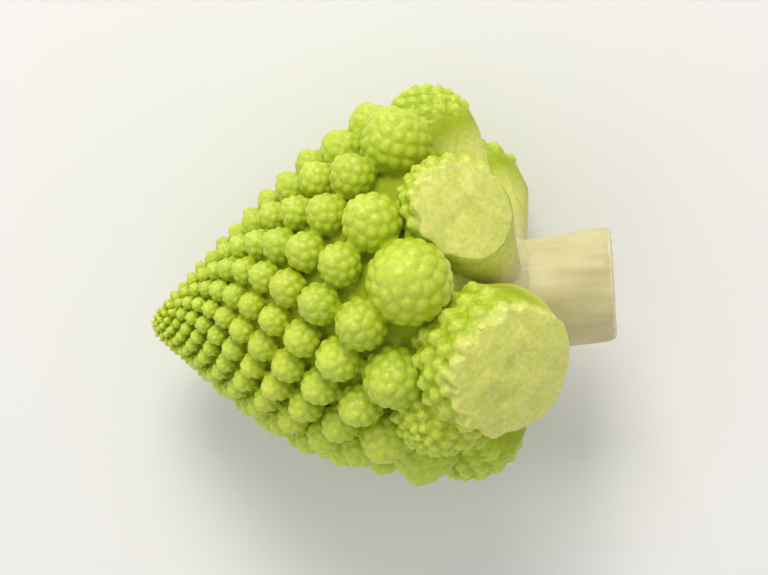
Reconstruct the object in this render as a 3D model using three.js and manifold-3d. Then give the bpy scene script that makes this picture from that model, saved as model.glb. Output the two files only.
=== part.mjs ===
// A romanesco floret: a pointed cone of green buds on a pale cut stalk, lying on its side.
// Millimetres, +Z up, the tip towards -X. The origin is on the table under the middle of the floret.
//
// The floret is worked out in its growth frame and then laid down. There the tip is at the origin,
// +Y points out of the tip, and +X is the side that ends up on top.
import * as THREE from "three";
import { ConvexHull } from "three/addons/math/ConvexHull.js";
import { mergeVertices } from "three/addons/utils/BufferGeometryUtils.js";
import Module from "manifold-3d";

const wasm = await Module();
wasm.setup();

const DEG = Math.PI / 180;

// The flank, followed from the tip. Past the blunt nose its slope from the axis is flankSlope, and it
// turns in towards the base.
const flankLength = 70.4;
const flankStep = 0.05;
const flankSlope = 41.3;
const noseLength = 1.54;
const turnIn = 38;
const turnLength = 60;

// The buds' spacing along the flank: it grows slowly at first and faster past the base of the cone.
const tipSpacing = 1.1;
const grainLength = 1.85;
const spacingGrowth = 0.15;
const baseStart = 47.8;
const baseGrowth = 0.391;
const packing = 0.95;
const leastRadius = 0.3;

// The spiral: one bud after another, a golden angle apart.
const goldenAngle = 137.50776;
const firstTurn = 283.5;
const firstCount = 0.4;

// The section is narrower than a circle towards the base.
const flatStart = 17;
const flatLength = 45;
const topFlattening = 0.08;
const undersideFlattening = 0.31;
const sideFlattening = 0.26;

// A bud's relief, in shares of the spacing where it grows. Larger buds have more rings, each with its
// reach from the middle and its height.
const budRise = 0.19;
const budRings = [[], [[0.35, 0]], [[0.22, 0.13], [0.38, -0.06]]];
const oneRingFrom = 2.5;
const twoRingsFrom = 6;
const saddleDepth = 0.32;
const creviceDepth = 0.45;

// The side cones at the base, in shares of the spacing there. They lean towards the tip.
const coneStart = 58.8;
const coneWidth = 1.16;
const coneDepth = 0.3;
const coneBedDepth = 0.47;
const coneLean = 30;

// A side cone for a half width of 1. It carries buds of its own, larger than life, on a smooth neck.
const budsPerCone = 16;
const coneSpread = 84;
const domeRadius = 0.93;
const domeHeight = 0.95;
const neckRows = [[0.93, -0.4], [0.5, -1.3]];
const neckSides = 7;

// The stalk
const stalkRadius = 9.4;
const stalkTopRadius = 6.5;
const stalkTop = 39;
const stalkEnd = 77.2;
const stalkSides = 16;
const bendStart = 52;
const stalkBend = new THREE.Vector2(-1.6, -2.2);
const branchRadius = 3.3;
const branchStart = 60;
const branchDepth = 0.55;
const branchSides = 6;
const gap = 0.3;

// How the floret lies
const pitch = 7.6;
const yaw = 3.5;
const pressedFlat = 1.7;

// Cuts left by the knife on two of the side cones, counted from the last bud
const knifeCuts = [
  { fromLast: 1, way: new THREE.Vector3(0.62, -0.3, 0.72).normalize(), left: 0.3 },
  { fromLast: 4, way: new THREE.Vector3(0.3, 0.1, 0.95).normalize(), left: 0.3 },
];

// The flank and the buds on it

function slopeAt(u) {
  const nose = (90 - flankSlope) * Math.exp(-((u / noseLength) ** 2));
  return (flankSlope + nose - turnIn * (u / turnLength) ** 4) * DEG;
}

function spacingAt(u) {
  const early = spacingGrowth * Math.max(0, u - grainLength);
  return tipSpacing + early + baseGrowth * Math.max(0, u - baseStart);
}

// The narrowing of the section at u, for a direction round the axis.
function narrowing(u, turn) {
  const share = THREE.MathUtils.smoothstep(u, flatStart, flatStart + flatLength);
  const upright = Math.cos(turn) > 0 ? topFlattening : undersideFlattening;
  return 1 - share * (upright * Math.cos(turn) ** 2 + sideFlattening * Math.max(0, Math.sin(turn)));
}

// Walks down the flank, and notes a bud each time the count passes a whole number.
function growBuds() {
  const buds = [];
  let along = 0;
  let radius = 0;
  let count = firstCount;
  for (let u = 0; u <= flankLength; u += flankStep) {
    const slope = slopeAt(u);
    const spacing = spacingAt(u);
    const girth = 2 * Math.PI * Math.max(radius, leastRadius);
    const next = count + (packing * girth * flankStep) / spacing ** 2;
    if (Math.floor(next) > Math.floor(count)) {
      const turn = (goldenAngle * Math.floor(next) + firstTurn) * DEG;
      buds.push({ u, slope, spacing, along, radius: radius * narrowing(u, turn), turn });
    }
    count = next;
    along += Math.cos(slope) * flankStep;
    radius += Math.sin(slope) * flankStep;
  }
  return buds;
}

const buds = growBuds();
const cones = buds.filter(({ u }) => u > coneStart);

// Solids

// A closed solid from a geometry: its points are merged and its collapsed faces dropped.
function solidOf(geometry) {
  const bare = new THREE.BufferGeometry();
  bare.setAttribute("position", geometry.getAttribute("position"));
  if (geometry.getIndex()) bare.setIndex(geometry.getIndex());
  const merged = mergeVertices(bare, 1e-4);
  const corners = merged.getIndex().array;
  const faces = [];
  for (let i = 0; i < corners.length; i += 3) {
    const [a, b, c] = [corners[i], corners[i + 1], corners[i + 2]];
    if (a !== b && b !== c && c !== a) faces.push(a, b, c);
  }
  return new wasm.Manifold(
    new wasm.Mesh({
      numProp: 3,
      vertProperties: merged.getAttribute("position").array,
      triVerts: new Uint32Array(faces),
    }),
  );
}

// A turned solid round Y, from [radius, height] pairs listed upwards.
function turned(profile, sides) {
  return new THREE.LatheGeometry(
    profile.map(([r, y]) => new THREE.Vector2(r, y)),
    sides,
  );
}

// Stands a geometry at a place, with its +Y along a direction, and spun round it.
function stand(geometry, place, direction, size = 1, spin = 0) {
  const facing = new THREE.Quaternion().setFromUnitVectors(new THREE.Vector3(0, 1, 0), direction);
  const turnAbout = new THREE.Quaternion().setFromAxisAngle(new THREE.Vector3(0, 1, 0), spin);
  const scale = new THREE.Vector3(size, size, size);
  return geometry.clone().applyMatrix4(new THREE.Matrix4().compose(place, facing.multiply(turnAbout), scale));
}

// A closed surface of buds, from places on a convex form. A place has at, out, spacing and rings, and a
// plain one stays smooth. The crevices run halfway between neighbours and are deepest where three meet.
function budSurface(places) {
  const placeOf = new Map(places.map((place) => [place.at, place]));
  const hull = new ConvexHull().setFromPoints([...placeOf.keys()]);
  const corners = [];
  for (const { edge } of hull.faces) {
    const trio = [edge, edge.next, edge.next.next].map((side) => placeOf.get(side.head().point));
    if (trio.every(({ plain }) => plain)) {
      corners.push(...trio.map(({ at }) => at));
      continue;
    }
    const crevice = sunkBetween(trio, creviceDepth);
    for (const turn of [0, 1, 2]) {
      const [here, next, last] = [0, 1, 2].map((k) => trio[(turn + k) % 3]);
      const bothPlain = (other) => here.plain && other.plain;
      const ahead = bothPlain(next) ? next.at : sunkBetween([here, next], saddleDepth);
      const behind = bothPlain(last) ? here.at : sunkBetween([here, last], saddleDepth);
      let left = here.plain ? here.at : here.at.clone().addScaledVector(here.out, budRise * here.spacing);
      let right = left;
      for (const ring of here.plain ? [] : budRings[here.rings]) {
        const [nextLeft, nextRight] = [ringPoint(here, next, ring), ringPoint(here, last, ring)];
        corners.push(left, nextLeft, nextRight, left, nextRight, right);
        [left, right] = [nextLeft, nextRight];
      }
      corners.push(left, ahead, crevice, left, crevice, right, right, crevice, behind);
    }
  }
  return new THREE.BufferGeometry().setFromPoints(corners);
}

// A point on a bud, some way from its middle towards a neighbour
function ringPoint(place, neighbour, [reach, height]) {
  const way = neighbour.at.clone().sub(place.at);
  way.addScaledVector(place.out, -way.dot(place.out)).normalize();
  const point = place.at.clone().addScaledVector(way, reach * place.spacing);
  return point.addScaledVector(place.out, height * place.spacing);
}

// A point between neighbours, nearer the smaller ones, sunk below them. Its sums don't depend on their order.
function sunkBetween(group, depth) {
  const sorted = [...group].sort((p, q) => p.at.x - q.at.x || p.at.z - q.at.z);
  const shares = sorted.map(({ spacing }) => 1 / spacing);
  const total = shares.reduce((sum, share) => sum + share, 0);
  const point = new THREE.Vector3();
  sorted.forEach(({ at, out, spacing }, index) => {
    point.addScaledVector(at, shares[index] / total);
    point.addScaledVector(out, (-depth * spacing) / sorted.length);
  });
  return point;
}

// Where a bud stands and which way it points
function seat(bud, depth, lean = bud.slope) {
  const radius = bud.radius - depth * bud.spacing * Math.cos(bud.slope);
  const at = new THREE.Vector3(
    radius * Math.cos(bud.turn),
    -bud.along - depth * bud.spacing * Math.sin(bud.slope),
    radius * Math.sin(bud.turn),
  );
  const out = new THREE.Vector3(
    Math.cos(lean) * Math.cos(bud.turn),
    Math.sin(lean),
    Math.cos(lean) * Math.sin(bud.turn),
  );
  return { at, out };
}

const ringsFor = (spacing) => (spacing < oneRingFrom ? 0 : spacing < twoRingsFrom ? 1 : 2);

// The main cone: its knobs in relief, and plain places under the cones at the base
function coneOfKnobs() {
  const places = buds.map((bud) => {
    const plain = bud.u > coneStart;
    const { at, out } = seat(bud, plain ? coneBedDepth : 0);
    return { at, out, plain, spacing: bud.spacing, rings: ringsFor(bud.spacing) };
  });
  return solidOf(budSurface(places));
}

// The shape of a side cone: a dome with buds in a spiral of their own, and the neck behind it
function coneOfSpecks() {
  const places = [];
  for (let k = 0; k < budsPerCone; k += 1) {
    const share = Math.sqrt((k + 0.3) / budsPerCone);
    const tilt = share * coneSpread * DEG;
    const turn = k * goldenAngle * DEG;
    const way = new THREE.Vector3().setFromSphericalCoords(1, tilt, Math.PI / 2 - turn);
    places.push({
      at: way.clone().multiply(new THREE.Vector3(domeRadius, domeHeight, domeRadius)),
      out: way.clone().setY(way.y + 0.2).normalize(),
      spacing: 0.26 + 0.24 * share,
      rings: 1,
    });
  }
  for (const [radius, height] of neckRows) {
    for (let k = 0; k < neckSides; k += 1) {
      const turn = ((k + height) / neckSides) * 2 * Math.PI;
      const at = new THREE.Vector3(radius * Math.cos(turn), height, radius * Math.sin(turn));
      places.push({ at, out: at.clone().normalize(), plain: true, spacing: 0.5, rings: 0 });
    }
  }
  return budSurface(places);
}

const coneShape = coneOfSpecks();

function sideCone(bud) {
  const { at, out } = seat(bud, coneDepth, coneLean * DEG);
  return solidOf(stand(coneShape, at, out, (bud.spacing * coneWidth) / 2, bud.turn));
}

// The stalk and its branches, made again a little larger to cut their room in the curd
function stalkSolid(extra) {
  const rows = [
    [0, -stalkEnd - extra],
    [stalkRadius * 0.94 + extra, -stalkEnd - extra],
    [stalkRadius + extra, -stalkEnd + 1.2],
    [stalkRadius * 0.97 + extra, -branchStart - 6],
    [stalkRadius * 0.98 + extra, -branchStart + 4],
    [stalkTopRadius + 1 + extra, -stalkTop - 7],
    [stalkTopRadius * 0.8 + extra, -stalkTop - 1.5],
    [0, -stalkTop + extra],
  ];
  const body = turned(rows, stalkSides);
  const points = body.getAttribute("position");
  for (let i = 0; i < points.count; i += 1) {
    const share = THREE.MathUtils.smoothstep(-points.getY(i), bendStart, stalkEnd);
    points.setX(i, points.getX(i) + stalkBend.x * share);
    points.setZ(i, points.getZ(i) + stalkBend.y * share);
  }
  const pieces = [solidOf(body)];
  const root = new THREE.Vector3(0, -branchStart, 0);
  for (const cone of cones) {
    const way = seat(cone, branchDepth).at.sub(root);
    const length = way.length();
    const profile = [
      [0, -extra],
      [branchRadius * 1.3 + extra, -extra],
      [branchRadius * 0.9 + extra, length - 1.5],
      [0, length + extra],
    ];
    const branch = turned(profile, branchSides);
    pieces.push(solidOf(stand(branch, root, way.normalize(), 1, cone.turn)));
  }
  return wasm.Manifold.union(pieces);
}

// The lying pose: the axis runs back and a little up from the tip

const axisWay = new THREE.Vector3(
  Math.cos(pitch * DEG) * Math.cos(yaw * DEG),
  Math.cos(pitch * DEG) * Math.sin(yaw * DEG),
  Math.sin(pitch * DEG),
);
const topWay = new THREE.Vector3(0, 0, 1).addScaledVector(axisWay, -axisWay.z).normalize();
const sideWay = new THREE.Vector3().crossVectors(axisWay, topWay);
const lie = new THREE.Matrix4().makeBasis(topWay, axisWay.clone().negate(), sideWay);

// A side cone laid down, with a flat where the knife met it
function laidCone(bud) {
  const cone = sideCone(bud).transform(lie.elements);
  const cut = knifeCuts.find(({ fromLast }) => bud === buds[buds.length - fromLast]);
  if (!cut) return cone;
  const { at } = seat(bud, coneDepth);
  const face = at.applyMatrix4(lie).addScaledVector(cut.way, cut.left * bud.spacing);
  const away = new THREE.BoxGeometry(60, 60, 60).translate(0, 30, 0);
  return cone.subtract(solidOf(stand(away, face, cut.way)));
}

const grown = wasm.Manifold.union([coneOfKnobs().transform(lie.elements), ...cones.map(laidCone)]);
const hollowed = grown.subtract(stalkSolid(gap).transform(lie.elements));
const laidStalk = stalkSolid(0).transform(lie.elements);

// Only the body itself is kept: the small hollows sealed between a cone and its bed are filled.
const [laidCurd] = hollowed.decompose().sort((a, b) => b.volume() - a.volume());

// Settled on the table: the lowest buds are pressed flat, and the middle of the box is over the origin.
const [low, high] = [laidCurd.boundingBox(), laidStalk.boundingBox()];
const settle = [-(low.min[0] + high.max[0]) / 2, -(low.min[1] + low.max[1]) / 2, -low.min[2] - pressedFlat];
const table = solidOf(new THREE.BoxGeometry(300, 300, 100).translate(0, 0, -50));
const curd = laidCurd.translate(settle).subtract(table);
const stalk = laidStalk.translate(settle);

function meshOf(name, { vertProperties, triVerts }, color, roughness) {
  const geometry = new THREE.BufferGeometry();
  geometry.setAttribute("position", new THREE.BufferAttribute(vertProperties, 3));
  geometry.setIndex(new THREE.BufferAttribute(triVerts, 1));
  const material = new THREE.MeshStandardMaterial({ color, roughness, metalness: 0, flatShading: true });
  const mesh = new THREE.Mesh(geometry, material);
  mesh.name = name;
  return mesh;
}

const floret = new THREE.Group();
floret.add(meshOf("curd", curd.getMesh(), 0x9dbb3a, 0.6));
floret.add(meshOf("stalk", stalk.getMesh(), 0xd9cf9e, 0.65));

export default floret;
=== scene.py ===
# Romanesco floret: buds in a golden-angle spiral, side cones at the base and a pale cut stalk.
# It is modelled in millimetres as it grows (tip at the origin, axis along -Y), then laid down in metres.
import bpy
import bmesh
import random
from math import sin, cos, pi, exp, sqrt, radians, atan2
from mathutils import Vector, Matrix, Quaternion, noise
from mathutils.kdtree import KDTree


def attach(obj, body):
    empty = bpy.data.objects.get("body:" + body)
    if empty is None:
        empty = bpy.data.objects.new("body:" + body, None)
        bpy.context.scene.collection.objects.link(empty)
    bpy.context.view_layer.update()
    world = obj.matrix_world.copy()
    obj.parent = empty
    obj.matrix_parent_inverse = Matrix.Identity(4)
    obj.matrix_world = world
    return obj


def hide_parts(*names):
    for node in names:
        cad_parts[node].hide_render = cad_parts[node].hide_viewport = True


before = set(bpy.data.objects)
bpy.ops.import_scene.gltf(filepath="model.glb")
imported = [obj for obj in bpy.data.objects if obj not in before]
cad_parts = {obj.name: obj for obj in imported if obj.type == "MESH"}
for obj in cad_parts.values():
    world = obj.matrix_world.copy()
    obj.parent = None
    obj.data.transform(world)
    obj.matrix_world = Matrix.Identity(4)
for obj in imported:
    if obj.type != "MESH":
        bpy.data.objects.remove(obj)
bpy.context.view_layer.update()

scene = bpy.context.scene
mm = 0.001
chance = random.Random(11)

# The growth rule, the same as in the solids. Lengths are in mm, turns and slopes in degrees.
growth = {
    "flankLength": 70.4,          # way from the tip to the last side cone
    "flankStep": 0.05,            # from station to station
    "flankSlope": 41.3,           # slope of the flank from the axis
    "noseLength": 1.54,           # how far the blunt nose reaches
    "turnIn": 38.0,               # how much the flank has turned in at turnLength
    "turnLength": 60.0,
    "tipSpacing": 1.1,            # from bud to bud at the tip
    "grainLength": 1.85,          # the buds grow from here on
    "spacingGrowth": 0.15,
    "baseStart": 47.8,            # the buds grow faster from here on
    "baseGrowth": 0.391,
    "packing": 0.95,              # how closely the buds stand, 1 for squares of their spacing
    "leastRadius": 0.3,           # the flank counts as at least so wide at the tip
    "goldenAngle": 137.50776,
    "firstTurn": 283.5,           # sets where the buds stand round the axis
    "firstCount": 0.4,            # sets how far down the first bud stands
    "spiralStart": 0.4,           # the same for the spirals on buds and side cones
    "coneStart": 58.8,            # buds past this are side cones
    "flatStart": 17.0,            # the section leaves the circle from here
    "flatLength": 45.0,
    "topFlattening": 0.08,        # what the radius has lost there, as a share
    "undersideFlattening": 0.31,
    "sideFlattening": 0.26,
}
# How the floret lies on the table
lying = {
    "tipAt": (-38.74, -7.26, 18.92),
    "pitch": 7.6,                 # how far the stalk end is raised
    "yaw": 3.5,
}


def smoothstep(x, low, high):
    t = min(1.0, max(0.0, (x - low) / (high - low)))
    return t * t * (3 - 2 * t)


def slopeAt(u):
    nose = (90 - growth["flankSlope"]) * exp(-(u / growth["noseLength"]) ** 2)
    return radians(growth["flankSlope"] + nose - growth["turnIn"] * (u / growth["turnLength"]) ** 4)


def spacingAt(u):
    early = growth["spacingGrowth"] * max(0.0, u - growth["grainLength"])
    return growth["tipSpacing"] + early + growth["baseGrowth"] * max(0.0, u - growth["baseStart"])


# How much of its round radius the flank keeps at a turn, as it lies on its side
def narrowing(u, turn):
    share = smoothstep(u, growth["flatStart"], growth["flatStart"] + growth["flatLength"])
    upright = growth["topFlattening"] if cos(turn) > 0 else growth["undersideFlattening"]
    return 1 - share * (upright * cos(turn) ** 2 + growth["sideFlattening"] * max(0.0, sin(turn)))


# Walks down the flank, and notes its stations and the buds on it
def growBuds():
    buds, stations = [], []
    along = radius = u = 0.0
    count = growth["firstCount"]
    step = growth["flankStep"]
    while u <= growth["flankLength"] + step / 100:
        slope = slopeAt(u)
        spacing = spacingAt(u)
        stations.append({"slope": slope, "spacing": spacing, "along": along, "radius": radius, "u": u})
        girth = 2 * pi * max(radius, growth["leastRadius"])
        following = count + growth["packing"] * girth * step / spacing ** 2
        if int(following) > int(count):
            turn = radians(growth["goldenAngle"] * int(following) + growth["firstTurn"])
            buds.append({"u": u, "slope": slope, "spacing": spacing, "along": along,
                         "radius": radius * narrowing(u, turn), "turn": turn})
        count = following
        along += cos(slope) * step
        radius += sin(slope) * step
        u += step
    return buds, stations


buds, stations = growBuds()
sideBuds = [bud for bud in buds if bud["u"] > growth["coneStart"]]


def stationAt(u):
    return stations[min(len(stations) - 1, round(u / growth["flankStep"]))]


# The first station that is so far down the axis
def stationBelow(along):
    low, high = 0, len(stations) - 1
    while low < high:
        middle = (low + high) // 2
        if stations[middle]["along"] < along:
            low = middle + 1
        else:
            high = middle
    return stations[low]


# Where a bud stands, a depth of so many spacings under the flank, and which way it points
def seat(bud, depth, lean=None):
    lean = bud["slope"] if lean is None else lean
    radius = bud["radius"] - depth * bud["spacing"] * cos(bud["slope"])
    along = bud["along"] + depth * bud["spacing"] * sin(bud["slope"])
    place = Vector((radius * cos(bud["turn"]), -along, radius * sin(bud["turn"])))
    way = Vector((cos(lean) * cos(bud["turn"]), sin(lean), cos(lean) * sin(bud["turn"])))
    return place, way


# The growth frame's place on the table
def lyingMatrix():
    pitch, yaw = radians(lying["pitch"]), radians(lying["yaw"])
    axisWay = Vector((cos(pitch) * cos(yaw), cos(pitch) * sin(yaw), sin(pitch)))
    topWay = (Vector((0, 0, 1)) - axisWay * axisWay.z).normalized()
    turned = Matrix((topWay, -axisWay, axisWay.cross(topWay))).transposed()
    return Matrix.Translation(lying["tipAt"]) @ turned.to_4x4()


lie = lyingMatrix()
toGrowth = lie.to_3x3().inverted()
print("spiral grown:", len(buds), "buds,", len(sideBuds), "of them side cones")


# Shapes

def toMesh(bm, name):
    mesh = bpy.data.meshes.new(name)
    bm.to_mesh(mesh)
    bm.free()
    return mesh


def addObject(name, data):
    made = bpy.data.objects.new(name, data)
    scene.collection.objects.link(made)
    return made


# The turn that brings +Z to a way
def facing(way, spin=0.0):
    return Vector((0, 0, 1)).rotation_difference(way) @ Quaternion((0, 0, 1), spin)


# A ball drawn out to a soft point
def addBud(bm, place, way, size, tall, point, detail):
    made = bmesh.ops.create_icosphere(bm, subdivisions=detail, radius=1.0)["verts"]
    for v in made:
        v.co.z *= 1 + point * max(0.0, v.co.z) ** 5
    matrix = Matrix.LocRotScale(place, facing(way), Vector((size, size, size * tall)))
    bmesh.ops.transform(bm, matrix=matrix, verts=made)


# A closed body turned round Z, from (radius, height) pairs that start and end on the axis
def addTurned(bm, profile, sides, matrix=None, bend=None):
    turned = bmesh.new()
    points = [turned.verts.new((radius, 0, height)) for radius, height in profile]
    edges = [turned.edges.new(pair) for pair in zip(points, points[1:])]
    bmesh.ops.spin(turned, geom=points + edges, cent=(0, 0, 0), axis=(0, 0, 1), angle=2 * pi,
                   steps=sides, use_merge=True)
    bmesh.ops.remove_doubles(turned, verts=turned.verts, dist=1e-4)
    if bend:
        for v in turned.verts:
            v.co = bend(v.co)
    if matrix:
        bmesh.ops.transform(turned, matrix=matrix, verts=turned.verts)
    bmesh.ops.recalc_face_normals(turned, faces=turned.faces)
    mesh = toMesh(turned, "turned")
    bm.from_mesh(mesh)
    bpy.data.meshes.remove(mesh)


# Ways in a golden-angle spiral round +Z, each with the gap to its neighbours on a ball of radius 1,
# and its share of the spiral. A power over a half sets them closer at the tip.
def goldenSpread(count, spread, power):
    found = []
    for k in range(count):
        share = (k + growth["spiralStart"]) / count
        tilt = radians(spread) * share ** power
        stride = radians(spread) * power * share ** (power - 1) / count
        turn = k * radians(growth["goldenAngle"])
        out = Vector((sin(tilt) * cos(turn), sin(tilt) * sin(turn), cos(tilt)))
        found.append((out, sqrt(2 * pi * sin(tilt) * stride), share))
    return found


def soften(bm, rounds):
    for _ in range(rounds):
        bmesh.ops.smooth_vert(bm, verts=bm.verts, factor=0.5,
                              use_axis_x=True, use_axis_y=True, use_axis_z=True)


# A mesh after one modifier, in place of the mesh itself
def modified(mesh, kind, **settings):
    holder = addObject("holder", mesh)
    modifier = holder.modifiers.new("work", kind)
    for key, value in settings.items():
        setattr(modifier, key, value)
    graph = bpy.context.evaluated_depsgraph_get()
    result = bpy.data.meshes.new_from_object(holder.evaluated_get(graph))
    bpy.data.objects.remove(holder)
    bpy.data.meshes.remove(mesh)
    return result


# Keeps the largest shell, which is the outer skin, and drops the crumbs and sealed pockets of fusing
def dropCrumbs(bm):
    seen = set()
    largest = []
    for start in bm.verts:
        if start in seen:
            continue
        seen.add(start)
        island = [start]
        for v in island:
            for edge in v.link_edges:
                other = edge.other_vert(v)
                if other not in seen:
                    seen.add(other)
                    island.append(other)
        if len(island) > len(largest):
            largest = island
    crumbs = seen.difference(largest)
    bmesh.ops.delete(bm, geom=[v for v in bm.verts if v in crumbs], context="VERTS")


# The bmesh's shapes fused in one skin by a voxel remesh
def remeshed(bm, voxel):
    mesh = modified(toMesh(bm, "fusing"), "REMESH", mode="VOXEL", voxel_size=voxel)
    fused = bmesh.new()
    fused.from_mesh(mesh)
    bpy.data.meshes.remove(mesh)
    dropCrumbs(fused)
    return fused


# Growth frame to the table, with what would go through the table pressed flat
def layDown(place):
    laid = lie @ place
    laid.z = max(laid.z, 0.0)
    return laid


# Writes a bmesh in millimetres as a piece in metres, with its marks as point attributes.
# Kept is the share of its triangles that stays.
def finishPiece(name, bm, marks, material, node, kept):
    for v in bm.verts:
        v.co = layDown(v.co)
    bmesh.ops.scale(bm, vec=(mm, mm, mm), verts=bm.verts)
    mesh = toMesh(bm, name)
    for key, values in marks.items():
        layer = mesh.attributes.new(key, "FLOAT", "POINT")
        layer.data.foreach_set("value", values)
    mesh = modified(mesh, "DECIMATE", ratio=kept)
    mesh.name = name
    mesh.shade_smooth()
    mesh.materials.clear()
    mesh.materials.append(material)
    piece = addObject(name, mesh)
    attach(piece, "root")
    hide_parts(node)
    mesh.calc_loop_triangles()
    print("made", name, "with", len(mesh.loop_triangles), "triangles")


# Materials

# A function that adds a node to a tree, and sets or links its inputs
def nodeMaker(tree):
    def make(kind, inputs=None, **settings):
        node = tree.nodes.new(kind)
        for key, value in settings.items():
            setattr(node, key, value)
        for key, value in (inputs or {}).items():
            if isinstance(value, bpy.types.NodeSocket):
                tree.links.new(value, node.inputs[key])
            else:
                node.inputs[key].default_value = value
        return node
    return make


def newMaterial(name):
    material = bpy.data.materials.new(name)
    material.use_nodes = True
    tree = material.node_tree
    tree.nodes.clear()
    make = nodeMaker(tree)
    shader = make("ShaderNodeBsdfPrincipled")
    make("ShaderNodeOutputMaterial", {"Surface": shader.outputs[0]})
    return material, make, shader


def setShader(shader, **inputs):
    for key, value in inputs.items():
        socket = shader.inputs[key.replace("_", " ")]
        if isinstance(value, bpy.types.NodeSocket):
            shader.id_data.links.new(value, socket)
        else:
            socket.default_value = value


# A point attribute of the piece
def mark(make, name):
    return make("ShaderNodeAttribute", attribute_name=name).outputs["Fac"]


def ranged(make, value, fromRange, toRange):
    low, high = fromRange
    start, end = toRange
    return make("ShaderNodeMapRange", {"Value": value, "From Min": low, "From Max": high,
                                       "To Min": start, "To Max": end}).outputs["Result"]


def speckled(make, where, scale, detail, roughness):
    return make("ShaderNodeTexNoise", {"Vector": where, "Scale": scale, "Detail": detail,
                                       "Roughness": roughness}).outputs["Fac"]


def ramp(make, value, stops):
    node = make("ShaderNodeValToRGB", {"Fac": value})
    elements = node.color_ramp.elements
    while len(elements) < len(stops):
        elements.new(0.5)
    for element, (position, color) in zip(elements, stops):
        element.position = position
        element.color = (*color, 1.0)
    return node.outputs["Color"]


def mixed(make, share, first, second):
    node = make("ShaderNodeMix", {0: share, 6: first}, data_type="RGBA")
    if isinstance(second, bpy.types.NodeSocket):
        node.id_data.links.new(second, node.inputs[7])
    else:
        node.inputs[7].default_value = (*second, 1.0)
    return node.outputs[2]


def bumped(make, height, strength, distance, under=None, invert=False):
    node = make("ShaderNodeBump", {"Height": height, "Strength": strength, "Distance": distance},
                invert=invert)
    if under:
        node.id_data.links.new(under, node.inputs["Normal"])
    return node.outputs["Normal"]


# In both finishes a noise is (scale, detail, roughness), a bump is (strength, depth in metres),
# and a range is the stretch of a noise or a mark that counts.
stalkFinish = {
    "skin": (0.66, 0.60, 0.31),
    "shade": (0.54, 0.48, 0.22),
    "pith": (0.78, 0.72, 0.46),
    "ring": (0.58, 0.54, 0.24),
    "fibres": (900.0, 4.0, 0.6),
    "fibreStretch": 0.06,         # scale along the stalk, to the scale across it
    "fibreRange": (0.35, 0.65),
    "fibrePaleness": 0.22,
    "fibreBump": (0.25, 0.0001),
    "patches": (110.0, 3.0, 0.5),
    "patchRange": (0.35, 0.65),
    "ringAt": (0.62, 0.78, 0.9),  # the ring on the cut end: inner edge, middle, outer edge
    "roughness": 0.45,
    "glow": 0.25,
    "glowColor": (1.0, 0.8, 0.4),
    "glowDepth": 0.003,
}
curdFinish = {
    # painted shade: the crevices between the buds are coloured darker
    "crevice": (0.33, 0.42, 0.001),
    "flank": (0.41, 0.54, 0.005),
    # the tops: partly the buds' own paler tips, partly a painted highlight
    "top": (0.57, 0.69, 0.06),
    "flesh": (0.74, 0.76, 0.19),
    "fleshShade": (0.66, 0.69, 0.12),
    "warm": (0.54, 0.54, 0.02),
    "patches": (90.0, 3.0, 0.55),
    "patchRange": (0.45, 0.75),
    "warmth": 0.35,               # the most that a patch turns warm
    "grainRange": (0.3, 1.0),
    # painted highlight: the grain tops are turned towards the pale top colour
    "paintedGrainHighlight": 0.25,        # the most that a grain turns to the top colour
    "veins": (420.0, 4.0, 0.6),
    "veinRange": (0.35, 0.6),
    "speckles": (1400.0, 2.0, 0.5),
    "speckleRange": (0.3, 0.7),
    "speckle": (0.9, 1.08),       # brightness from speckle to speckle
    "cellScale": 1700.0,
    "cellBump": (0.25, 0.0001),
    "bloom": (3200.0, 3.0, 0.5),
    "bloomRange": (0.3, 0.7),
    "bloomBump": (0.3, 0.00006),
    "tint": (0.95, 1.05),         # how bright buds may be beside each other
    "hue": (0.504, 0.496),        # the brighter ones are yellower
    "roughness": 0.37,
    "creviceRoughness": 0.85,
    "creviceRange": (0.1, 0.8),   # the rise over which one turns into the other
    "unevenRoughness": (-0.05, 0.08),
    "glow": 0.32,
    "glowColor": (0.9, 1.0, 0.25),
    "glowDepth": 0.0024,
}


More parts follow.
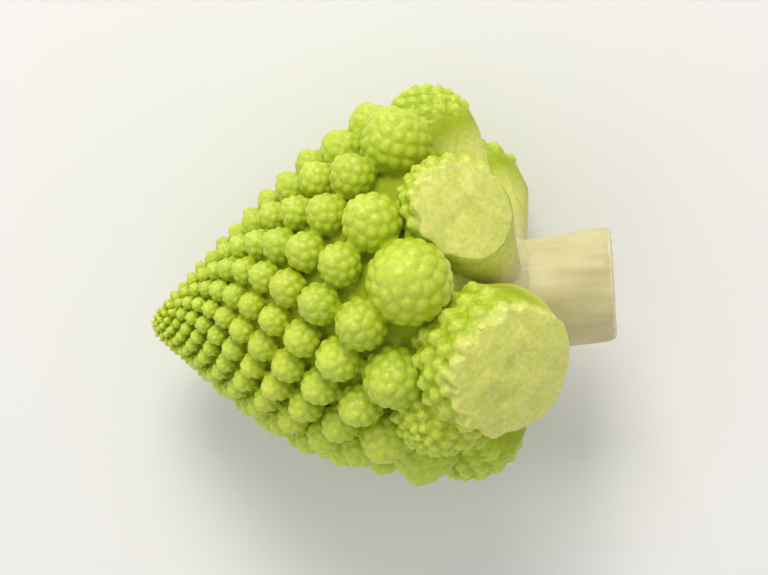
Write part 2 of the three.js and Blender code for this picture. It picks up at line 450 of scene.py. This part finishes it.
def makeCurdMaterial():
    look = curdFinish
    material, make, shader = newMaterial("romanesco curd")
    where = make("ShaderNodeTexCoord").outputs["Object"]
    rise = mark(make, "rise")
    tint = mark(make, "tint")
    # green from the crevices up: painted shade darkens the crevices, and the top colour is partly the
    # buds' own paler tips and partly a painted highlight; with warmer patches, and grain tops lightened as
    # a painted highlight
    green = ramp(make, rise, [(0.0, look["crevice"]), (0.5, look["flank"]), (1.0, look["top"])])
    patches = speckled(make, where, *look["patches"])
    warmth = ranged(make, patches, look["patchRange"], (0.0, look["warmth"]))
    green = mixed(make, warmth, green, look["warm"])
    # painted highlight on the grain tops
    paleness = ranged(make, mark(make, "grain"), look["grainRange"], (0.0, look["paintedGrainHighlight"]))
    green = mixed(make, paleness, green, look["top"])
    # pale flesh on necks and cuts, with the stalk's cream near the stalk
    veins = speckled(make, where, *look["veins"])
    low, high = look["veinRange"]
    flesh = ramp(make, veins, [(low, look["fleshShade"]), (high, look["flesh"])])
    flesh = mixed(make, mark(make, "stem"), flesh, stalkFinish["skin"])
    color = mixed(make, mark(make, "flesh"), green, flesh)
    # every bud a little brighter or duller than the next
    speckle = speckled(make, where, *look["speckles"])
    value = make("ShaderNodeMath", {
        0: ranged(make, speckle, look["speckleRange"], look["speckle"]),
        1: ranged(make, tint, (0.0, 1.0), look["tint"]),
    }, operation="MULTIPLY").outputs[0]
    hue = ranged(make, tint, (0.0, 1.0), look["hue"])
    varied = make("ShaderNodeHueSaturation", {"Color": color, "Value": value, "Hue": hue})
    # waxy bloom: tiny cells under a finer grain, dull in the crevices
    cells = make("ShaderNodeTexVoronoi", {"Vector": where, "Scale": look["cellScale"]}).outputs["Distance"]
    bloom = speckled(make, where, *look["bloom"])
    normal = bumped(make, cells, *look["cellBump"], invert=True)
    normal = bumped(make, bloom, *look["bloomBump"], under=normal)
    dull = ranged(make, rise, look["creviceRange"], (look["creviceRoughness"], look["roughness"]))
    uneven = ranged(make, bloom, look["bloomRange"], look["unevenRoughness"])
    rough = make("ShaderNodeMath", {0: dull, 1: uneven}, operation="ADD").outputs[0]
    setShader(shader, Base_Color=varied.outputs["Color"], Normal=normal, Roughness=rough,
              Subsurface_Weight=look["glow"], Subsurface_Radius=look["glowColor"],
              Subsurface_Scale=look["glowDepth"])
    return material


def makeStalkMaterial():
    look = stalkFinish
    material, make, shader = newMaterial("romanesco stalk")
    where = make("ShaderNodeTexCoord").outputs["Object"]
    lengthwise = make("ShaderNodeMapping", {
        "Vector": where,
        "Rotation": (0, radians(lying["pitch"]), -radians(lying["yaw"])),
        "Scale": (look["fibreStretch"], 1.0, 1.0),
    }).outputs[0]
    fibres = speckled(make, lengthwise, *look["fibres"])
    patches = speckled(make, where, *look["patches"])
    low, high = look["patchRange"]
    skin = ramp(make, patches, [(low, look["shade"]), (high, look["skin"])])
    paleness = ranged(make, fibres, look["fibreRange"], (0.0, look["fibrePaleness"]))
    skin = mixed(make, paleness, skin, look["pith"])
    inner, middle, outer = look["ringAt"]
    rings = ramp(make, mark(make, "inward"), [(0.0, look["pith"]), (inner, look["pith"]),
                                              (middle, look["ring"]), (outer, look["pith"])])
    color = mixed(make, mark(make, "cutFace"), skin, rings)
    setShader(shader, Base_Color=color, Normal=bumped(make, fibres, *look["fibreBump"]),
              Roughness=look["roughness"], Subsurface_Weight=look["glow"],
              Subsurface_Radius=look["glowColor"], Subsurface_Scale=look["glowDepth"])
    return material


curdMaterial = makeCurdMaterial()
stalkMaterial = makeStalkMaterial()
print("materials ready")


# Buds of the main cone, and the grains on them

knobs = {
    "width": 0.47,                # half width of a bud, in shares of its spacing
    "tall": 0.95,                 # height to width
    "depth": 0.23,                # how far its middle lies under the flank
    "point": 0.32,                # how far it is drawn out
    "detail": 2,                  # subdivisions of the ball that a bud starts from
    "smoothFrom": 4.0,            # buds of a wider spacing get one more
    "wander": 0.05,               # unevenness of the buds
    "firstGrains": 1.9,           # the least spacing of a bud that carries grains
    "grains": (6, 4.2),           # how many, and how many more for each mm of spacing
    "spread": 112.0,              # how far down its side a bud carries grains, in degrees
    "grainPower": 0.62,           # over a half they are finer at the top
    "loneGrain": 1.8,             # spacing of a bud's only grain, in its half width
    "grainLift": 0.22,            # relief of the grains, in shares of their spacing
}
core = {
    "depth": 0.42,                # how deep the crevices between the buds go, in spacings
    "sides": 48,
    "row": 1.5,                   # from row to row
    "leastRadius": 0.05,          # at the tip
    # below the buds the core narrows to the stalk: share of the radius, way down
    "underside": [(0.93, 1.5), (0.80, 4.0), (0.62, 7.0), (0.45, 11.0), (0.34, 15.0)],
    "pale": (0.5, 3.0),           # the skin turns to flesh this far below the last row
    "paleReach": (0.80, 0.95),    # and stops short of the outer buds
}
# Three stretches of the main cone, each with its buds from first to last on its own stretch of core.
# Drawn in is how much deeper that core lies, and rounds is how often the skin is softened.
bands = {
    "nose": {"first": 0.0, "last": 20.0, "core": (0.0, 23.0), "drawnIn": 0.3, "voxel": 0.17,
             "rounds": 1, "kept": 0.42, "underside": []},
    "flank": {"first": 20.0, "last": 39.0, "core": (17.0, 42.0), "drawnIn": 0.0, "voxel": 0.23,
              "rounds": 2, "kept": 0.42, "underside": []},
    "shoulder": {"first": 39.0, "last": growth["coneStart"], "core": (36.0, 62.0), "drawnIn": 0.2,
                 "voxel": 0.28, "rounds": 2, "kept": 0.48, "underside": core["underside"]},
}
bandOverlap = 3.0                 # a band's skin also knows the grains of its neighbours' buds
skin = {
    "grainWidth": 0.68,           # how far a grain reaches, in shares of its spacing
    "grainSteepness": 1.7,
    "crease": 0.4,                # width of the crease between grains
    "creaseDepth": 0.7,           # how much of a grain's height a crease takes
    "riseFrom": -0.42,            # the painted crevice shade ends here, in spacings from the flank
    "riseSpan": 0.62,
    "calm": (0.3, 1.6),           # near a cut the grains fade out over this depth
}
stemCream = {"near": (11.0, 19.0), "along": (40.0, 55.0)}   # where flesh has the stalk's colour


def grainCount(spacing):
    if spacing < knobs["firstGrains"]:
        return 1
    least, more = knobs["grains"]
    return int(least + more * spacing)


# The grains on one bud, each with its place, its spacing and the bud's number
def grainsOn(owner, place, way, size, count, spin):
    if count == 1:
        return [(place + way * size, size * knobs["loneGrain"], owner)]
    turned = facing(way, spin)
    spiral = goldenSpread(count, knobs["spread"], knobs["grainPower"])
    return [(place + turned @ out * size, gap * size, owner) for out, gap, _ in spiral]


def placesTree(grains):
    tree = KDTree(len(grains))
    for index, (place, _, _) in enumerate(grains):
        tree.insert(place, index)
    tree.balance()
    return tree


# Raises the grains on a fused skin, calmly near a cut plane, and returns its marks:
# the rise on the bud, the grain, and each bud's own tint. An owner is (place, way, spacing).
def dressSkin(bm, grains, owners, lift, cutPlane=None):
    tree = placesTree(grains)
    tints = [chance.random() for _ in owners]
    marks = {"rise": [], "grain": [], "tint": []}
    moves = []
    bm.normal_update()
    for v in bm.verts:
        (_, first, near), (_, _, far) = tree.find_n(v.co, 2)
        _, gap, owner = grains[first]
        place, way, spacing = owners[owner]
        dome = max(0.0, 1 - (near / (skin["grainWidth"] * gap)) ** skin["grainSteepness"])
        crease = min(1.0, (far - near) / (skin["crease"] * gap))
        grain = dome * (1 - skin["creaseDepth"] * (1 - crease))
        calm = 1.0
        if cutPlane:
            calm = smoothstep((cutPlane[0] - v.co).dot(cutPlane[1]), *skin["calm"])
        moves.append(v.normal * (lift * gap * (grain - 0.5) * calm))
        # the rise sets the painted shade in the crevices and the painted highlight on the tops
        rise = ((v.co - place).dot(way) / spacing - skin["riseFrom"]) / skin["riseSpan"]
        marks["rise"].append(min(1.0, max(0.0, rise)))
        marks["grain"].append(grain)
        marks["tint"].append(tints[owner])
    for v, move in zip(bm.verts, moves):
        v.co += move
    return marks


def awayFromAxis(place):
    return Vector((place.x, 0, place.z)).length


# How much a spot of flesh has the stalk's colour
def stemShare(place):
    near = 1 - smoothstep(awayFromAxis(place), *stemCream["near"])
    return near * smoothstep(-place.y, *stemCream["along"])


# The drawn-in flank between two stations, closed on the axis at both ends
def coreProfile(band):
    first, last = band["core"]
    steps = int((last - first) / core["row"])
    rows = []
    for k in range(steps + 1):
        station = stationAt(first + (last - first) * k / steps)
        depth = core["depth"] * station["spacing"] + band["drawnIn"]
        radius = max(core["leastRadius"], station["radius"] - depth * cos(station["slope"]))
        rows.append((radius, station["along"] + depth * sin(station["slope"])))
    widest, end = rows[-1]
    rows += [(widest * share, end + down) for share, down in band["underside"]]
    return [(0.0, rows[0][1])] + rows + [(0.0, rows[-1][1])]


# The core is turned round Z, which is the growth frame's -Y, and narrowed as the flank is
def addCore(bm, band):
    def bend(place):
        factor = narrowing(stationBelow(place.z)["u"], atan2(-place.y, place.x))
        return Vector((place.x * factor, -place.z, -place.y * factor))
    addTurned(bm, coreProfile(band), core["sides"], bend=bend)


def addKnob(bm, bud):
    middle, way = seat(bud, knobs["depth"])
    size = knobs["width"] * bud["spacing"] * (1 + knobs["wander"] * chance.uniform(-1, 1))
    tall = knobs["tall"] + knobs["wander"] * chance.uniform(-1, 1)
    detail = knobs["detail"] + int(bud["spacing"] > knobs["smoothFrom"])
    addBud(bm, middle, way, size, tall, knobs["point"], detail)


def buildBand(name, band):
    bm = bmesh.new()
    for bud in buds:
        if band["first"] <= bud["u"] < band["last"]:
            addKnob(bm, bud)
    addCore(bm, band)
    bm = remeshed(bm, band["voxel"])
    soften(bm, band["rounds"])
    owners, grains = [], []
    for bud in buds:
        if band["first"] - bandOverlap <= bud["u"] < band["last"] + bandOverlap:
            middle, way = seat(bud, knobs["depth"])
            size = knobs["width"] * bud["spacing"]
            grains += grainsOn(len(owners), middle, way, size, grainCount(bud["spacing"]), bud["turn"])
            owners.append((seat(bud, 0.0)[0], way, bud["spacing"]))
    marks = dressSkin(bm, grains, owners, knobs["grainLift"])
    lowest = stationAt(band["core"][1])
    marks["flesh"] = [0.0] * len(bm.verts)
    if band["underside"]:
        for k, v in enumerate(bm.verts):
            outer = smoothstep(awayFromAxis(v.co) / lowest["radius"], *core["paleReach"])
            marks["flesh"][k] = smoothstep(-v.co.y - lowest["along"], *core["pale"]) * (1 - outer)
    marks["stem"] = [stemShare(v.co) for v in bm.verts]
    finishPiece(name, bm, marks, curdMaterial, "curd", band["kept"])


for name, band in bands.items():
    buildBand(name, band)


# Side cones, each a floret in little on its own neck

sideCones = {
    "width": 1.16,                # full width, in shares of the spacing at the base
    "depth": 0.3,                 # how far its seat lies under the flank, in spacings
    "lean": 30.0,                 # towards the tip
    "buds": 66,
    "spread": 88.0,               # how far down its side it carries buds, in degrees
    "budPower": 0.72,             # over a half they are finer at the top
    "budWidth": 0.54,             # half width of a bud, in shares of its spacing
    "budSunk": 0.45,              # how far a bud's middle lies in, in its own radius
    "budUp": 0.3,                 # how much the buds turn to the tip of their cone
    "leastSpacing": 0.16,
    "detail": 2,
    "tall": 1.05,
    "point": 0.14,
    "grains": 11,
    "firstGrains": 2.0,           # the least spacing of a bud that carries grains
    "grainReach": 1.1,            # how far out the grains stand, in the bud's radius
    "grainLift": 0.13,
    "domeRadius": 0.84,           # shares of half the width, as are the neck's rows
    "domeHeight": 0.86,
    "tipHeight": 0.1,             # how much higher the buds at its tip stand
    "domeTilts": (1, 20, 40, 60, 78),   # the dome's rows, in degrees from its foot
    "fill": 1.035,                # over 1 the crevices between the buds are shallower
    "neck": [(0.3, -2.0), (0.32, -1.7), (0.38, -1.4), (0.5, -1.1), (0.66, -0.8), (0.82, -0.45),
             (0.86, -0.2)],
    "neckBend": 0.45,             # below this the neck runs to the stalk
    "neckRoot": 62.0,             # and meets its middle this far down the axis
    "sides": 40,
    "voxel": 0.23,
    "rounds": 1,                  # how often the skin is softened, and once it is cut
    "cutRounds": 3,
    "kept": 0.5,
    "pale": (0.1, 0.8),           # the skin turns to flesh this far behind the seat
    "paleCut": (0.3, 2.4),        # and within this depth under a cut
    "cutPaleness": 0.85,
    "cutSkin": 0.03,              # how far under a cut its face reaches, in half the width
    "cutRise": 0.8,               # what the face counts as, between crevice and top
    "cutGrain": 0.12,             # fine unevenness of the face
    "cutGrainScale": 0.5,
    "lumpScale": 0.25,
}
# Where a knife met a side cone, counted from the last: the way the flat faces, how far out it lies in
# spacings, how much it swells and how lumpy it is, in mm. Each of these cones has a size of its own,
# and stands a few mm off the spiral, as in the photo.
knifeCuts = {
    1: {"way": Vector((0.55, -0.3, 0.78)), "out": 0.3, "swell": 2.6, "lumps": 0.4, "size": 1.14,
        "moved": Vector((3.6, -3.4, -1.2))},
    4: {"way": Vector((0.3, 0.0, 0.95)), "out": 0.3, "swell": 0.8, "lumps": 0.3, "size": 1.0,
        "moved": Vector((2.2, -3.0, 0.3))},
}
uncut = {"size": 1.0, "moved": Vector((0, 0, 0))}


# The buds of a side cone: (place, way, spacing)
def coneBuds(place, way, half, spin):
    turned = facing(way, spin)
    wide = sideCones["domeRadius"]
    found = []
    for out, gap, share in goldenSpread(sideCones["buds"], sideCones["spread"], sideCones["budPower"]):
        high = sideCones["domeHeight"] * (1 + sideCones["tipHeight"] - sideCones["tipHeight"] * share)
        spot = Vector((wide * out.x, wide * out.y, high * out.z))
        outward = (out + Vector((0, 0, sideCones["budUp"]))).normalized()
        spacing = max(sideCones["leastSpacing"], gap * wide) * half
        found.append((place + turned @ spot * half, turned @ outward, spacing))
    return found


# The dome under the buds and the neck that runs from its back to the stalk
def addDome(bm, place, way, half):
    wide = sideCones["domeRadius"] * sideCones["fill"]
    high = sideCones["domeHeight"] * sideCones["fill"]
    neck = sideCones["neck"]
    tilts = [radians(tilt) for tilt in sideCones["domeTilts"]]
    dome = [(wide * cos(tilt), high * sin(tilt)) for tilt in tilts]
    profile = [(0.0, neck[0][1])] + neck + dome + [(0.0, high)]
    matrix = Matrix.LocRotScale(place, facing(way), Vector((half, half, half)))
    root = matrix.inverted() @ Vector((0, -sideCones["neckRoot"], 0))
    start = -sideCones["neckBend"]

    def bend(spot):
        share = (start - spot.z) / (start - neck[0][1])
        if share <= 0:
            return spot
        return Vector((spot.x, spot.y, 0)) + Vector((0, 0, start)).lerp(root, share)
    addTurned(bm, profile, sideCones["sides"], matrix=matrix, bend=bend)


# Cuts away what lies past a plane and closes the cut
def cutAcross(bm, place, normal):
    everything = bm.verts[:] + bm.edges[:] + bm.faces[:]
    bmesh.ops.bisect_plane(bm, geom=everything, dist=1e-5, plane_co=place, plane_no=normal,
                           clear_outer=True)
    rim = [edge for edge in bm.edges if len(edge.link_faces) == 1]
    bmesh.ops.holes_fill(bm, edges=rim, sides=0)
    bmesh.ops.triangulate(bm, faces=[face for face in bm.faces if len(face.verts) > 4])


# Moves a spot of the cut face onto the swollen flat
def swollen(spot, cutPlane, cut, half):
    middle, normal = cutPlane
    inside = max(0.0, 1 - ((spot - middle).length / half) ** 2)
    height = inside * (cut["swell"] + cut["lumps"] * noise.noise(spot * sideCones["lumpScale"]))
    fine = sideCones["cutGrain"] * noise.noise(spot * sideCones["cutGrainScale"])
    return spot + normal * ((middle - spot).dot(normal) + height + fine)


def buildSideCone(name, bud, cut):
    place, way = seat(bud, sideCones["depth"], radians(sideCones["lean"]))
    place += toGrowth @ cut["moved"]
    half = bud["spacing"] * sideCones["width"] / 2 * cut["size"]
    owners = coneBuds(place, way, half, bud["turn"])
    bm = bmesh.new()
    grains = []
    for k, (spot, outward, spacing) in enumerate(owners):
        size = sideCones["budWidth"] * spacing
        middle = spot - outward * size * sideCones["budSunk"]
        addBud(bm, middle, outward, size, sideCones["tall"], sideCones["point"],
               sideCones["detail"])
        count = 1 if spacing < sideCones["firstGrains"] else sideCones["grains"]
        reach = size * sideCones["grainReach"]
        grains += grainsOn(k, middle, outward, reach, count, k * radians(growth["goldenAngle"]))
    addDome(bm, place, way, half)
    bm = remeshed(bm, sideCones["voxel"])
    soften(bm, sideCones["rounds"])
    cutPlane = None
    if cut is not uncut:
        normal = (toGrowth @ cut["way"]).normalized()
        cutPlane = (place + normal * cut["out"] * bud["spacing"], normal)
        cutAcross(bm, *cutPlane)
        bm = remeshed(bm, sideCones["voxel"])
        soften(bm, sideCones["cutRounds"])
    marks = dressSkin(bm, grains, owners, sideCones["grainLift"], cutPlane)
    marks["flesh"] = [smoothstep((place - v.co).dot(way) / half, *sideCones["pale"]) for v in bm.verts]
    if cutPlane:
        for k, v in enumerate(bm.verts):
            under = (cutPlane[0] - v.co).dot(cutPlane[1])
            nearCut = sideCones["cutPaleness"] * (1 - smoothstep(under, *sideCones["paleCut"]))
            marks["flesh"][k] = max(marks["flesh"][k], nearCut)
            if under < sideCones["cutSkin"] * half:
                v.co = swollen(v.co, cutPlane, cut, half)
                marks["flesh"][k] = 1.0
                marks["rise"][k] = sideCones["cutRise"]
                marks["grain"][k] = 0.0
    marks["stem"] = [stemShare(v.co) for v in bm.verts]
    finishPiece(name, bm, marks, curdMaterial, "curd", sideCones["kept"])


for index, bud in enumerate(sideBuds):
    cut = knifeCuts.get(len(sideBuds) - index, uncut)
    buildSideCone("side_cone_%d" % (index + 1), bud, cut)


# The stalk, with a branch to each side cone

stalk = {
    "radius": 9.4,
    "top": 39.0,                  # where it starts inside the cone, down the axis
    "end": 77.2,                  # where it was cut
    # its rows: (radius, way down the axis)
    "rows": [(5.2, 40.5), (7.5, 46.0), (9.212, 56.0), (9.118, 66.0), (9.4, 76.0), (8.93, 77.2)],
    "branchStart": 60.0,          # where the branches leave it
    "branchRadii": (4.29, 3.3, 2.97),   # at a branch's root, waist and tip
    "branchWaist": 0.6,           # how far along the waist is
    "branchTaper": 1.5,           # length of the tip
    "branchDepth": 0.55,          # how far under the flank it ends, in spacings
    "branchSides": 24,
    "bendStart": 52.0,            # where it starts to leave the axis
    "bend": (-1.6, -2.2),         # how far the cut end is off the axis
    "sides": 64,
    "ribs": 0.28,                 # height of the ribs along it
    "ribScale": (0.4, 0.03, 0.4),
    "dents": 0.35,
    "dentScale": 0.16,
    "cutDents": 0.15,
    "cutDentScale": 0.7,
    "cutDepth": 0.7,              # what lies this near the end, and faces that way, is the cut
    "cutFacing": -0.6,
    "voxel": 0.4,
    "rounds": 2,
    "kept": 0.5,
}


def addStem(bm):
    profile = [(0.0, stalk["top"])] + stalk["rows"] + [(0.0, stalk["end"])]
    sideways, across = stalk["bend"]

    def bend(place):
        share = smoothstep(place.z, stalk["bendStart"], stalk["end"])
        return Vector((place.x + sideways * share, -place.z, -place.y + across * share))
    addTurned(bm, profile, stalk["sides"], bend=bend)


def addBranch(bm, bud):
    root = Vector((0, -stalk["branchStart"], 0))
    way = seat(bud, stalk["branchDepth"])[0] - root
    first, waist, last = stalk["branchRadii"]
    profile = [(0.0, 0.0), (first, 0.0), (waist, way.length * stalk["branchWaist"]),
               (last, way.length - stalk["branchTaper"]), (0.0, way.length)]
    matrix = Matrix.LocRotScale(root, facing(way.normalized()), Vector((1, 1, 1)))
    addTurned(bm, profile, stalk["branchSides"], matrix=matrix)


def buildStalk():
    bm = bmesh.new()
    addStem(bm)
    for bud in sideBuds:
        addBranch(bm, bud)
    bm = remeshed(bm, stalk["voxel"])
    soften(bm, stalk["rounds"])
    bm.normal_update()
    sideways, across = stalk["bend"]
    cutMiddle = Vector((sideways, 0, across))
    ribX, ribY, ribZ = stalk["ribScale"]
    marks = {"inward": [], "cutFace": []}
    for v in bm.verts:
        onCut = v.co.y < -stalk["end"] + stalk["cutDepth"] and v.normal.y < stalk["cutFacing"]
        marks["inward"].append(min(1.0, awayFromAxis(v.co - cutMiddle) / stalk["radius"]))
        marks["cutFace"].append(float(onCut))
        lengthwise = noise.noise(Vector((v.co.x * ribX, v.co.y * ribY, v.co.z * ribZ)))
        relief = stalk["ribs"] * lengthwise + stalk["dents"] * noise.noise(v.co * stalk["dentScale"])
        if onCut:
            relief = stalk["cutDents"] * noise.noise(v.co * stalk["cutDentScale"])
        v.co += v.normal * relief
    finishPiece("cut_stalk", bm, marks, stalkMaterial, "stalk", stalk["kept"])


buildStalk()


# Table, light and camera

studio = {
    "tableSize": 3.0,
    "tableColor": (0.86, 0.85, 0.83, 1.0),
    "tableRoughness": 0.7,
    "roomLight": 0.53,
    "lens": 85.0,
    "sensor": 36.0,
    "frameWidth": 0.125,          # what the picture takes in, in metres
    "aimedAt": (0.0, -0.001, 0.03),   # the frame has that width at this place
    # name: place, size, power, colour
    "lights": {
        "window": ((-0.1, 0.75, 0.75), 0.5, 6.9, (1.0, 0.98, 0.92)),
        "fill": ((-0.6, -0.3, 0.8), 1.2, 2.0, (1.0, 1.0, 1.0)),
    },
}


def addTable():
    bm = bmesh.new()
    bmesh.ops.create_grid(bm, x_segments=1, y_segments=1, size=studio["tableSize"])
    mesh = toMesh(bm, "table")
    table = addObject("table", mesh)
    material, _, shader = newMaterial("pale table")
    setShader(shader, Base_Color=studio["tableColor"], Roughness=studio["tableRoughness"])
    mesh.materials.append(material)


def addLight(name, place, size, power, color):
    data = bpy.data.lights.new(name, "AREA")
    data.size = size
    data.energy = power
    data.color = color
    light = addObject(name, data)
    light.location = place
    light.rotation_euler = (-Vector(place)).to_track_quat("-Z", "Y").to_euler()


def addRoom():
    room = bpy.data.worlds.new("room")
    room.use_nodes = True
    background = room.node_tree.nodes["Background"]
    background.inputs["Color"].default_value = (1.0, 1.0, 1.0, 1.0)
    background.inputs["Strength"].default_value = studio["roomLight"]
    scene.world = room


# Straight down on the lying floret, with the tip on the left
def addCamera():
    data = bpy.data.cameras.new("overhead")
    data.lens = studio["lens"]
    data.sensor_width = studio["sensor"]
    camera = addObject("overhead", data)
    distance = studio["frameWidth"] * data.lens / data.sensor_width
    x, y, z = studio["aimedAt"]
    camera.location = (x, y, z + distance)
    scene.camera = camera


addTable()
for name, (place, size, power, color) in studio["lights"].items():
    addLight(name, place, size, power, color)
addRoom()
addCamera()
scene.view_settings.view_transform = "Standard"
print("table, lights and camera set")
